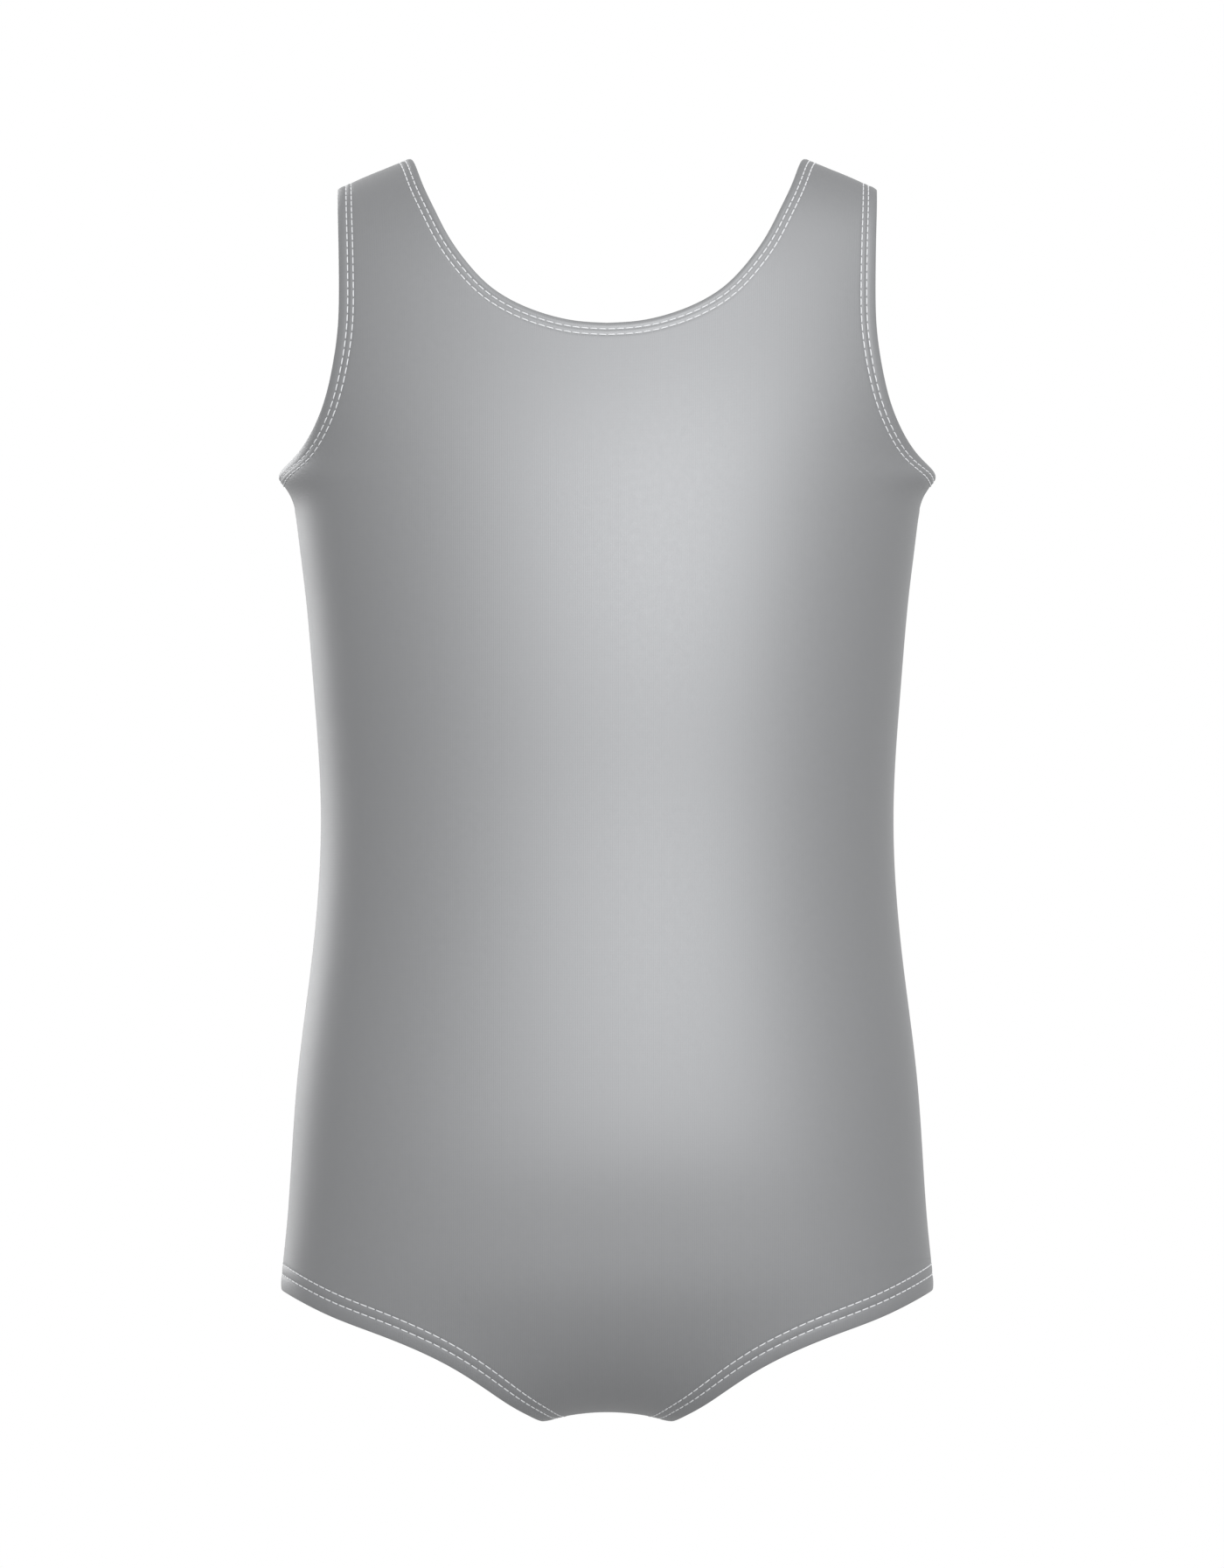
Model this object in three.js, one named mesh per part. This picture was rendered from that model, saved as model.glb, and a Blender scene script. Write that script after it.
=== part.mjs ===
// A child's tank leotard in a smooth stretch knit, kept in its worn form with nobody in it.
// Millimetres. The front faces -Y, +Z is up, and the origin is midway between the shoulder tops.
// "Right" is the +X side, as it is seen from the front.

import * as THREE from 'three';
import { mergeVertices } from 'three/addons/utils/BufferGeometryUtils.js';

// Cloth and hems.
const CLOTH = 1.0;
const HEM_THICK = 1.0;
const NECK_HEM = { wide: 6.4, gap: 0.6 };
const ARMHOLE_HEM = { wide: 8, gap: 0.9 };
const LEG_HEM = { wide: 10.6, gap: 0.8 };
const SEAM_GAP = 0.3;

// The form's levels, measured down from the shoulder tops.
const UNDERARM = 126;
const HIP = 448.2;

// How much squarer than an ellipse each level is, in radians.
const SQUARE = 0.06;

// The share of a row's slope that lies above its own level, at the middle.
const RISE = 0.37;

// The side stands away from the form at the underarm, where the hems pull the corner out.
// wide: how far, tall: over what height, local: how near to the side seam it stays.
const FLARE = { wide: 6.3, tall: 8, fade: 1.4, local: 8 };

// Levels of the torso. half: half width. front and back: depth at the middle.
// side: y of the side seam. slope: fall from the middle to the side.
const LEVELS = [
  { drop: 0, half: 128, front: 0, back: 0, side: 0, slope: 37.5 },
  { drop: 8, half: 128, front: -24, back: 26, side: 0, slope: 35 },
  { drop: 22, half: 128, front: -39, back: 42, side: 0, slope: 30 },
  { drop: 42, half: 128, front: -51, back: 54.5, side: 0, slope: 22 },
  { drop: 65, half: 128, front: -60, back: 63, side: 0, slope: 13 },
  { drop: 95, half: 127, front: -70, back: 70.5, side: 0, slope: 4 },
  { drop: UNDERARM, half: 123.7, front: -77, back: 74, side: 0, slope: 0 },
  { drop: 148, half: 122.2, front: -79.7, back: 74.7, side: 0, slope: 0 },
  { drop: 172, half: 119.5, front: -81.5, back: 74, side: -1, slope: 0 },
  { drop: 210, half: 116.2, front: -82, back: 69.5, side: -1, slope: 0 },
  { drop: 262, half: 113.4, front: -80.5, back: 63.5, side: 0, slope: 0 },
  { drop: 320, half: 117.4, front: -80.5, back: 70, side: 2, slope: 0 },
  { drop: 365, half: 122.9, front: -80, back: 83, side: 4, slope: 0 },
  { drop: 400, half: 125.4, front: -77, back: 90.5, side: 5, slope: 0 },
  { drop: 425, half: 127.3, front: -71.5, back: 89, side: 6.5, slope: 0 },
  { drop: HIP, half: 129.3, front: -64, back: 82, side: 8, slope: 0 },
];

// Under the hips the middle follows a quarter of an ellipse, forward and back to the crotch seam,
// and the side runs on past the leg openings. half, side and sideZ are the side's at the crotch.
const FORK_STEPS = 9;
const CROTCH = { y: 2, z: -496.4, centreZ: -405, half: 131, side: 2, sideZ: -597 };

// Edges as seen from the front, from the middle or the underarm up to the shoulder.
const NECK_FRONT = [
  { x: 0, z: -67 },
  { x: 12, z: -66.2 },
  { x: 23, z: -63.8 },
  { x: 36, z: -58.7 },
  { x: 46, z: -52.3 },
  { x: 55.4, z: -42.4 },
  { x: 62.6, z: -32 },
  { x: 68, z: -21.4 },
  { x: 73, z: -10.6 },
  { x: 78, z: 0 },
];
const NECK_BACK = [
  { x: 0, z: -128 },
  { x: 18, z: -126 },
  { x: 34, z: -118 },
  { x: 47, z: -103 },
  { x: 56, z: -84 },
  { x: 63, z: -62 },
  { x: 68, z: -40 },
  { x: 72.5, z: -20 },
  { x: 78, z: 0 },
];
const ARMHOLE_FRONT = [
  { x: 129.9, z: -UNDERARM },
  { x: 124.3, z: -119 },
  { x: 116.8, z: -109 },
  { x: 112.3, z: -99 },
  { x: 108.4, z: -83.5 },
  { x: 106.3, z: -68 },
  { x: 105.9, z: -52 },
  { x: 106.3, z: -31 },
  { x: 106.7, z: -20 },
  { x: 107, z: -12.3 },
];
const ARMHOLE_BACK = [
  { x: 129.9, z: -UNDERARM },
  { x: 124.3, z: -119.5 },
  { x: 116.8, z: -110 },
  { x: 112, z: -100 },
  { x: 107.5, z: -85 },
  { x: 105, z: -70 },
  { x: 104, z: -54 },
  { x: 104.5, z: -34 },
  { x: 105.5, z: -22 },
  { x: 107, z: -12.3 },
];

// The leg edge as seen from the front, from the hip down to the crotch seam.
const LEG = [
  { x: 129.3, z: -HIP },
  { x: 127.2, z: -449.1 },
  { x: 121, z: -451.9 },
  { x: 106, z: -458.3 },
  { x: 90, z: -464 },
  { x: 74.5, z: -470.2 },
  { x: 60.5, z: -477.3 },
  { x: 48.5, z: -485.2 },
  { x: 38.5, z: -492.4 },
  { x: 30, z: -497.7 },
  { x: 24.5, z: -500 },
];

// The panels' grids. Side levels run from the hip to the underarm, middle levels from the hip to
// the bottom of the neck, and the rest of each boundary is shared out evenly along its edge.
// Columns crowd towards the outer edge, where the form turns most. Rows under the hips drop towards
// the middle, and FORK_BEND above 1 keeps them clear of the leg edge.
const COLUMNS = 14;
const CROWDING = 1.4;
const FORK_BEND = 2;
const LEG_STEPS = 15;
const ARMHOLE_STEPS = 18;
const SIDE_LEVELS = [442, 431, 414, 390, 360, 330, 300, 270, 240, 212, 187, 167, 152, 142,
  134.5, 129.5];
const MIDDLE_FRONT = [442, 431, 414, 390, 360, 330, 300, 270, 240, 212, 187, 167, 151, 135,
  119, 104, 90, 78];
const MIDDLE_BACK = [442, 431, 414, 390, 360, 330, 300, 270, 240, 212, 190, 172, 157, 142];

// A smooth curve through values at the knots, bent evenly from one to the next.
function spline(knots, values) {
  const count = knots.length;
  const bend = new Array(count).fill(0);
  const carried = new Array(count).fill(0);
  for (let i = 1; i < count - 1; i += 1) {
    const before = knots[i] - knots[i - 1];
    const after = knots[i + 1] - knots[i];
    const share = before / (before + after);
    const pivot = share * bend[i - 1] + 2;
    const turn = (values[i + 1] - values[i]) / after - (values[i] - values[i - 1]) / before;
    bend[i] = (share - 1) / pivot;
    carried[i] = (6 * turn / (before + after) - share * carried[i - 1]) / pivot;
  }
  for (let i = count - 2; i >= 0; i -= 1) {
    bend[i] = bend[i] * bend[i + 1] + carried[i];
  }
  return (at) => {
    let i = 1;
    while (i < count - 1 && at > knots[i]) {
      i += 1;
    }
    const gap = knots[i] - knots[i - 1];
    const low = (knots[i] - at) / gap;
    const high = 1 - low;
    const curve = (low ** 3 - low) * bend[i - 1] + (high ** 3 - high) * bend[i];
    return low * values[i - 1] + high * values[i] + curve * gap * gap / 6;
  };
}

// A path runs over the form: 0 on the shoulder line, down the front as it grows, down the back as
// it falls, and both ways to the crotch seam. On the torso it is the root of the drop.
const HIP_PATH = Math.sqrt(HIP);
const FORK_PATH = 0.25;
const CROTCH_PATH = HIP_PATH + FORK_STEPS * FORK_PATH;

// How many points the middle line carries on past the crotch seam at each end, to close smoothly.
const LAP = 3;

function forkMiddle(step, hipY) {
  const hipAngle = Math.acos((CROTCH.centreZ + HIP) / (CROTCH.centreZ - CROTCH.z));
  const angle = hipAngle * (1 - step / FORK_STEPS);
  const reach = (hipY - CROTCH.y) / Math.sin(hipAngle);
  return {
    y: CROTCH.y + reach * Math.sin(angle),
    z: CROTCH.centreZ - (CROTCH.centreZ - CROTCH.z) * Math.cos(angle),
  };
}

function middleSide(side) {
  const hipY = LEVELS[LEVELS.length - 1][side];
  const points = LEVELS.map((level) => ({
    path: Math.sqrt(level.drop),
    y: level[side],
    z: -level.drop + RISE * level.slope,
  }));
  for (let step = 1; step <= FORK_STEPS; step += 1) {
    points.push({ path: HIP_PATH + step * FORK_PATH, ...forkMiddle(step, hipY) });
  }
  return points;
}

function middleLine() {
  const front = middleSide('front');
  const back = middleSide('back').map((point) => ({ ...point, path: -point.path }));
  const lap = 2 * CROTCH_PATH;
  const nearCrotch = (points) => points.slice(-1 - LAP, -1);
  const beyondFront = nearCrotch(back).map((point) => ({ ...point, path: point.path + lap }));
  const beyondBack = nearCrotch(front).map((point) => ({ ...point, path: point.path - lap }));
  const points = [...beyondBack, ...back.slice(1), ...front, ...beyondFront];
  points.sort((one, other) => one.path - other.path);
  const knots = points.map((point) => point.path);
  return {
    y: spline(knots, points.map((point) => point.y)),
    z: spline(knots, points.map((point) => point.z)),
  };
}

// The side under the hip: it leaves the torso at its own slope and is level at the crotch.
function forkSide(step) {
  const hip = LEVELS[LEVELS.length - 1];
  const share = step / FORK_STEPS;
  const fallen = share * share * (3 - 2 * share);
  const leaving = share * (1 - share) * (1 - share) * 2 * HIP_PATH * FORK_STEPS * FORK_PATH;
  return {
    x: hip.half + (CROTCH.half - hip.half) * share,
    y: hip.side + (CROTCH.side - hip.side) * share,
    z: -HIP + (CROTCH.sideZ + HIP) * fallen - leaving,
  };
}

function sideLine() {
  const down = LEVELS.map((level) => ({
    path: Math.sqrt(level.drop),
    x: level.half,
    y: level.side,
    z: -level.drop - (1 - RISE) * level.slope,
  }));
  for (let step = 1; step <= FORK_STEPS; step += 1) {
    down.push({ path: HIP_PATH + step * FORK_PATH, ...forkSide(step) });
  }
  const up = down.slice(1).map((point) => ({ ...point, path: -point.path })).reverse();
  const points = [...up, ...down];
  const knots = points.map((point) => point.path);
  return {
    x: spline(knots, points.map((point) => point.x)),
    y: spline(knots, points.map((point) => point.y)),
    z: spline(knots, points.map((point) => point.z)),
  };
}

const MIDDLE = middleLine();
const SIDE = sideLine();

function acrossForm(angle) {
  return Math.sin(angle + SQUARE * Math.sin(2 * angle));
}

function depthOfForm(angle) {
  return Math.cos(angle - SQUARE * Math.sin(2 * angle));
}

// A point of the form's skin. share runs from the middle, 0, to the side, 1.
function form(path, share) {
  let at = path;
  if (at > CROTCH_PATH) {
    at -= 2 * CROTCH_PATH;
  } else if (at < -CROTCH_PATH) {
    at += 2 * CROTCH_PATH;
  }
  const angle = share * Math.PI / 2;
  const across = acrossForm(angle);
  const above = (at * at - UNDERARM) / FLARE.tall;
  const flare = FLARE.wide / (1 + above * above) ** FLARE.fade;
  const sideY = SIDE.y(at);
  const sideZ = SIDE.z(at);
  return new THREE.Vector3(
    SIDE.x(at) * across + flare * Math.sin(angle) ** FLARE.local,
    sideY + (MIDDLE.y(at) - sideY) * depthOfForm(angle),
    sideZ + (MIDDLE.z(at) - sideZ) * (1 - across * across),
  );
}

// The step for slopes, in path and in share.
const NUDGE = 1e-4;

function slopes(path, share) {
  const here = form(path, share);
  const alongPath = form(path + NUDGE, share).sub(here).divideScalar(NUDGE);
  const alongShare = form(path, share + NUDGE).sub(here).divideScalar(NUDGE);
  return { here, alongPath, alongShare };
}

function outward(path, share) {
  const { alongPath, alongShare } = slopes(path, share);
  return alongPath.cross(alongShare).normalize();
}

// Where the skin has this x and z, on the front or the back, moving only along what is free.
const SEEK_STEPS = 30;

function placeOf(point, start, free) {
  let { path, share } = start;
  for (let i = 0; i < SEEK_STEPS; i += 1) {
    const { here, alongPath, alongShare } = slopes(path, share);
    const missX = point.x - here.x;
    const missZ = point.z - here.z;
    if (free === 'share') {
      share += missX / alongShare.x;
    } else if (free === 'path') {
      path += missZ / alongPath.z;
    } else {
      const area = alongPath.x * alongShare.z - alongPath.z * alongShare.x;
      path += (missX * alongShare.z - missZ * alongShare.x) / area;
      share += (alongPath.x * missZ - alongPath.z * missX) / area;
    }
  }
  return { path, share };
}

// The nearest place of a coarse grid to a point as seen from the front.
const COARSE_SHARES = 24;
const COARSE_PATHS = 96;

function coarsePlace(point, side) {
  let best = { miss: Infinity };
  for (let row = 0; row <= COARSE_PATHS; row += 1) {
    for (let column = 0; column <= COARSE_SHARES; column += 1) {
      const place = { path: side * CROTCH_PATH * row / COARSE_PATHS, share: column / COARSE_SHARES };
      const here = form(place.path, place.share);
      const miss = Math.hypot(here.x - point.x, here.z - point.z);
      if (miss < best.miss) {
        best = { ...place, miss };
      }
    }
  }
  return { path: best.path, share: best.share };
}

// An edge as places on the form, at even lengths. Its first and last points lie on the lines that
// low and high name: a path or a share that holds there.
function edgePlaces(points, side, low, high, steps) {
  const last = points.length - 1;
  const places = points.map((point, i) => {
    const start = coarsePlace(point, side);
    const held = { 0: low, [last]: high }[i] ?? {};
    if ('path' in held && 'share' in held) {
      return { ...held };
    }
    if ('path' in held) {
      return placeOf(point, { ...start, ...held }, 'share');
    }
    if ('share' in held) {
      return placeOf(point, { ...start, ...held }, 'path');
    }
    return placeOf(point, start, 'both');
  });
  const knots = [0];
  for (let i = 1; i <= last; i += 1) {
    const from = form(places[i - 1].path, places[i - 1].share);
    const to = form(places[i].path, places[i].share);
    knots.push(knots[i - 1] + from.distanceTo(to));
  }
  const path = spline(knots, places.map((place) => place.path));
  const share = spline(knots, places.map((place) => place.share));
  const stations = [];
  for (let i = 0; i <= steps; i += 1) {
    const at = knots[last] * i / steps;
    stations.push({ path: path(at), share: share(at) });
  }
  return stations;
}

// Both boundaries of half a panel, from the crotch seam to the shoulder.
function boundaries(side, middleLevels, neckPoints, armholePoints) {
  const hip = { path: side * HIP_PATH, share: 1 };
  const crotch = { path: side * CROTCH_PATH };
  const underarm = { path: side * Math.sqrt(UNDERARM), share: 1 };
  const shoulder = { path: 0 };
  const outer = edgePlaces(LEG, side, hip, crotch, LEG_STEPS).reverse();
  const inner = outer.map((place, row) => {
    const raised = row / LEG_STEPS;
    return { path: crotch.path + (hip.path - crotch.path) * raised, share: 0 };
  });
  for (const drop of SIDE_LEVELS) {
    outer.push({ path: side * Math.sqrt(drop), share: 1 });
  }
  const tip = outer.length;
  outer.push(...edgePlaces(armholePoints, side, underarm, shoulder, ARMHOLE_STEPS));
  for (const drop of middleLevels) {
    inner.push({ path: side * Math.sqrt(drop), share: 0 });
  }
  const neck = inner.length;
  const neckSteps = outer.length - neck - 1;
  inner.push(...edgePlaces(neckPoints, side, { share: 0 }, shoulder, neckSteps));
  return { side, inner, outer, tip, neck, hip: LEG_STEPS };
}

const FRONT = boundaries(1, MIDDLE_FRONT, NECK_FRONT, ARMHOLE_FRONT);
const BACK = boundaries(-1, MIDDLE_BACK, NECK_BACK, ARMHOLE_BACK);

// The two faces of the cloth at each grid point. At the seams each panel stops short of the other.
function gridOf(panel) {
  const last = panel.inner.length - 1;
  return panel.inner.map((from, row) => {
    const to = panel.outer[row];
    const bend = row < panel.hip ? FORK_BEND : 1;
    const line = [];
    for (let column = 0; column <= COLUMNS; column += 1) {
      const along = 1 - (1 - column / COLUMNS) ** CROWDING;
      const path = to.path + (from.path - to.path) * (1 - along) ** bend;
      const share = from.share + (to.share - from.share) * along;
      const skin = form(path, share);
      const inside = skin.clone().addScaledVector(outward(path, share), -CLOTH);
      const onSide = column === COLUMNS && row >= panel.hip && row <= panel.tip;
      if (row === 0 || row === last || onSide) {
        skin.y -= panel.side * SEAM_GAP / 2;
        inside.y -= panel.side * SEAM_GAP / 2;
      }
      if (share === 0) {
        skin.x = 0;
        inside.x = 0;
      }
      line.push({ skin, inside });
    }
    return line;
  });
}

// Four corners in order, split along the shorter diagonal.
function quad(faces, a, b, c, d) {
  if (a.distanceTo(c) <= b.distanceTo(d)) {
    faces.push([a, b, c], [a, c, d]);
  } else {
    faces.push([b, c, d], [b, d, a]);
  }
}

function flipped(point) {
  return new THREE.Vector3(-point.x, point.y, point.z);
}

function mirrored(faces) {
  return faces.map(([a, b, c]) => [flipped(a), flipped(c), flipped(b)]);
}

function volume(faces) {
  return faces.reduce((sum, [a, b, c]) => sum + a.dot(b.clone().cross(c)), 0) / 6;
}

// Corners nearer to each other than this are one corner.
const MERGE = 1e-4;

function bodyOf(faces) {
  const inOrder = volume(faces) > 0 ? faces : faces.map(([a, b, c]) => [a, c, b]);
  const numbers = inOrder.flat().flatMap((point) => [point.x, point.y, point.z]);
  const geometry = new THREE.BufferGeometry();
  geometry.setAttribute('position', new THREE.Float32BufferAttribute(numbers, 3));
  const merged = mergeVertices(geometry, MERGE);
  merged.computeVertexNormals();
  return merged;
}

// A panel is one wall: both halves meet along the middle, up to the bottom of the neck.
function panelGeometry(panel) {
  const grid = gridOf(panel);
  const last = grid.length - 1;
  const faces = [];
  for (let row = 0; row < last; row += 1) {
    const low = grid[row];
    const high = grid[row + 1];
    for (let column = 0; column < COLUMNS; column += 1) {
      const next = column + 1;
      quad(faces, low[column].skin, low[next].skin, high[next].skin, high[column].skin);
      quad(faces, high[column].inside, high[next].inside, low[next].inside, low[column].inside);
    }
    const rim = low[COLUMNS];
    const nextRim = high[COLUMNS];
    quad(faces, rim.skin, rim.inside, nextRim.inside, nextRim.skin);
    if (row >= panel.neck) {
      quad(faces, high[0].skin, high[0].inside, low[0].inside, low[0].skin);
    }
  }
  for (let column = 0; column < COLUMNS; column += 1) {
    const [from, to] = [grid[0][column], grid[0][column + 1]];
    quad(faces, from.skin, from.inside, to.inside, to.skin);
    const [topFrom, topTo] = [grid[last][column], grid[last][column + 1]];
    quad(faces, topFrom.skin, topTo.skin, topTo.inside, topFrom.inside);
  }
  return bodyOf([...faces, ...mirrored(faces)]);
}

// A place on the skin at a distance from a start, straight over the cloth.
const WALK_STEPS = 4;

function walk(start, heading, distance) {
  let { path, share } = start;
  for (let i = 0; i < WALK_STEPS; i += 1) {
    const { alongPath, alongShare } = slopes(path, share);
    const pathPath = alongPath.dot(alongPath);
    const pathShare = alongPath.dot(alongShare);
    const shareShare = alongShare.dot(alongShare);
    const pathHeading = alongPath.dot(heading);
    const shareHeading = alongShare.dot(heading);
    const area = pathPath * shareShare - pathShare * pathShare;
    const step = distance / WALK_STEPS / area;
    path += (pathHeading * shareShare - shareHeading * pathShare) * step;
    share += (shareHeading * pathPath - pathHeading * pathShare) * step;
  }
  return { path, share };
}

// The section of a hem at one place of an edge: a flat strip just inside the cloth.
const HEM_COLUMNS = 2;
const HEM_INSET = 0.2;

function hemSection(place, along, inward, hem) {
  const normal = outward(place.path, place.share);
  const heading = along.clone().cross(normal).multiplyScalar(inward).normalize();
  const near = [];
  const far = [];
  for (let column = 0; column <= HEM_COLUMNS; column += 1) {
    const distance = HEM_INSET + (hem.wide - HEM_INSET) * column / HEM_COLUMNS;
    const spot = walk(place, heading, distance);
    const skin = form(spot.path, spot.share);
    const out = outward(spot.path, spot.share);
    near.push(skin.clone().addScaledVector(out, -CLOTH - hem.gap));
    far.push(skin.clone().addScaledVector(out, -CLOTH - hem.gap - HEM_THICK));
  }
  return [...near, ...far.reverse()];
}

function ringFaces(sections) {
  const faces = [];
  sections.forEach((section, i) => {
    const next = sections[(i + 1) % sections.length];
    section.forEach((point, corner) => {
      const beside = (corner + 1) % section.length;
      quad(faces, point, section[beside], next[beside], next[corner]);
    });
  });
  return faces;
}

// A hem that goes right round one opening at the side. The cloth lies on its inward side.
function sideHemFaces(places, inward, hem) {
  const points = places.map((place) => form(place.path, place.share));
  const count = places.length;
  const sections = places.map((place, i) => {
    const along = points[(i + 1) % count].clone().sub(points[(i + count - 1) % count]);
    return hemSection(place, along, inward, hem);
  });
  return ringFaces(sections);
}

// Each ring goes up its front edge and down its back edge. The ends that both share count once.
function ringPlaces(front, back) {
  return [...front, ...back.slice(1, -1).reverse()];
}

// The neck's hem: its right half, worked out like the others, and the mirrored left half.
function neckHemFaces() {
  const front = FRONT.inner.slice(FRONT.neck);
  const back = BACK.inner.slice(BACK.neck);
  const half = [...front, ...back.slice(0, -1).reverse()];
  const points = half.map((place) => form(place.path, place.share));
  const across = new THREE.Vector3(1, 0, 0);
  const sections = half.map((place, i) => {
    const ends = i === 0 || i === half.length - 1;
    const along = ends ? across.clone() : points[i + 1].clone().sub(points[i - 1]);
    const side = i === half.length - 1 ? -1 : 1;
    return hemSection(place, along.multiplyScalar(side), 1, NECK_HEM);
  });
  for (const end of [sections[0], sections[half.length - 1]]) {
    end.forEach((point) => point.setX(0));
  }
  const left = sections.slice(1, -1).reverse().map((section) => section.map(flipped));
  return ringFaces([...sections, ...left]);
}

const armholeRing = ringPlaces(FRONT.outer.slice(FRONT.tip), BACK.outer.slice(BACK.tip));
const legRing = ringPlaces(
  FRONT.outer.slice(0, FRONT.hip + 1),
  BACK.outer.slice(0, BACK.hip + 1),
);
const armholeFaces = sideHemFaces(armholeRing, -1, ARMHOLE_HEM);
const legFaces = sideHemFaces(legRing, -1, LEG_HEM);

function piece(name, geometry, colour) {
  const material = new THREE.MeshStandardMaterial({ color: colour, roughness: 0.45, metalness: 0 });
  const mesh = new THREE.Mesh(geometry, material);
  mesh.name = name;
  return mesh;
}

const KNIT = 0x9a9b9d;
const HEM = 0x8c8d8f;

const leotard = new THREE.Group();
leotard.name = 'tank_leotard';
leotard.add(
  piece('front', panelGeometry(FRONT), KNIT),
  piece('back', panelGeometry(BACK), KNIT),
  piece('neck_hem', bodyOf(neckHemFaces()), HEM),
  piece('armhole_hem_right', bodyOf(armholeFaces), HEM),
  piece('armhole_hem_left', bodyOf(mirrored(armholeFaces)), HEM),
  piece('leg_hem_right', bodyOf(legFaces), HEM),
  piece('leg_hem_left', bodyOf(mirrored(legFaces)), HEM),
);

export default leotard;
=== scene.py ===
"""A child's tank leotard in a smooth grey stretch knit, in its worn form, with nobody in it."""

import math

import bmesh
import bpy
import numpy as np
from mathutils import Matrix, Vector


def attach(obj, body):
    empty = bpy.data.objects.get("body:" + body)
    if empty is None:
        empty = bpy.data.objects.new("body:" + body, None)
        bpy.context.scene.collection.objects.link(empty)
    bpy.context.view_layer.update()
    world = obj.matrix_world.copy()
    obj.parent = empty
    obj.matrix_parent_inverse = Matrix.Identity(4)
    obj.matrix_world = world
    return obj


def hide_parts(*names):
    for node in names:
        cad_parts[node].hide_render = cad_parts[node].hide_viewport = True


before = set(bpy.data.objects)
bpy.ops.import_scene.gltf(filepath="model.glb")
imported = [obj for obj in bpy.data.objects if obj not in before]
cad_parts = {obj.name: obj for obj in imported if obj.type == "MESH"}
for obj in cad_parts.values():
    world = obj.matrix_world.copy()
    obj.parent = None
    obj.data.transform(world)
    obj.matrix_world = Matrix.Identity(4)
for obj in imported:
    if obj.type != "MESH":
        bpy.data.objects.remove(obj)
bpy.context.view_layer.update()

# The form's tables are in millimetres, and the meshes in metres.
MM = 0.001

# Cloth thickness, the radius of a turned edge, and how far the hem's own columns reach.
KNIT = 0.65
ROLL = 0.8
BAND = 12.5
BAND_COLUMNS = 25
ROLL_STEPS = 8

# wide: the turned hem. first and second: the rows of stitches, from the edge. A hem that is eased
# round a curve ends up narrower or wider. low and high: that factor at the ring's low and high end.
# pinch: how much narrower it is at the very lowest point. Past the hem that is made up for.
NECK_HEM = {"wide": 6.4, "first": 2.8, "second": 5.1, "low": 1.0, "high": 1.0, "pinch": 0.0}
ARMHOLE_HEM = {"wide": 8.3, "first": 4.5, "second": 7.0, "low": 1.22, "high": 0.88, "pinch": 0.5}
LEG_HEM = {"wide": 11.0, "first": 6.2, "second": 10.0, "low": 0.84, "high": 1.06, "pinch": 0.0}
PINCH_HEIGHT = 3.0

# Two levels of the torso, as drops from the shoulder tops.
UNDERARM = 126.0
HIP = 448.2

# How much fuller than an ellipse a section is, and the share of a level's fall to the side by which
# its middle rises.
SQUARE = 0.06
RISE = 0.37

# The cloth's small point at each underarm. fade and local: the powers by which it dies away up and
# down, and inwards.
FLARE = {"wide": 6.3, "tall": 8.0, "fade": 1.4, "local": 8}

# drop, half width, front and back depth at the middle, y of the side seam, fall to the side
LEVELS = np.array([
    (0, 128, 0, 0, 0, 37.5),
    (8, 128, -24, 26, 0, 35),
    (22, 128, -39, 42, 0, 30),
    (42, 128, -51, 54.5, 0, 22),
    (65, 128, -60, 63, 0, 13),
    (95, 127, -70, 70.5, 0, 4),
    (UNDERARM, 123.7, -77, 74, 0, 0),
    (148, 122.2, -79.7, 74.7, 0, 0),
    (172, 119.5, -81.5, 74, -1, 0),
    (210, 116.2, -82, 69.5, -1, 0),
    (262, 113.4, -80.5, 63.5, 0, 0),
    (320, 117.4, -80.5, 70, 2, 0),
    (365, 122.9, -80, 83, 4, 0),
    (400, 125.4, -77, 90.5, 5, 0),
    (425, 127.3, -71.5, 89, 6.5, 0),
    (HIP, 129.3, -64, 82, 8, 0),
])
DROP, HALF, FRONT_Y, BACK_Y, SIDE_Y, FALL = range(6)

# Under the hips the middle follows a quarter of an ellipse to the crotch seam, and the side runs on
# past the leg openings. y, z and half are those at the crotch. The fork is given in even steps of
# the path.
CROTCH_Y = 2.0
CROTCH_Z = -496.4
CROTCH_CENTRE_Z = -405.0
CROTCH_HALF = 131.0
CROTCH_SIDE_Z = -597.0
FORK_STEPS = 9
FORK_PATH = 0.25

# The edges as seen from the front: x and z
LEG = [(129.3, -HIP), (127.2, -449.1), (121, -451.9), (106, -458.3), (90, -464), (74.5, -470.2),
       (60.5, -477.3), (48.5, -485.2), (38.5, -492.4), (30, -497.7), (24.5, -500)]
NECK_FRONT = [(0, -67), (12, -66.2), (23, -63.8), (36, -58.7), (46, -52.3), (55.4, -42.4),
              (62.6, -32), (68, -21.4), (73, -10.6), (78, 0)]
NECK_BACK = [(0, -128), (18, -126), (34, -118), (47, -103), (56, -84), (63, -62), (68, -40),
             (72.5, -20), (78, 0)]
ARMHOLE_FRONT = [(129.9, -UNDERARM), (124.3, -119), (116.8, -109), (112.3, -99), (108.4, -83.5),
                 (106.3, -68), (105.9, -52), (106.3, -31), (106.7, -20), (107, -12.3)]
ARMHOLE_BACK = [(129.9, -UNDERARM), (124.3, -119.5), (116.8, -110), (112, -100), (107.5, -85),
                (105, -70), (104, -54), (104.5, -34), (105.5, -22), (107, -12.3)]

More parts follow.
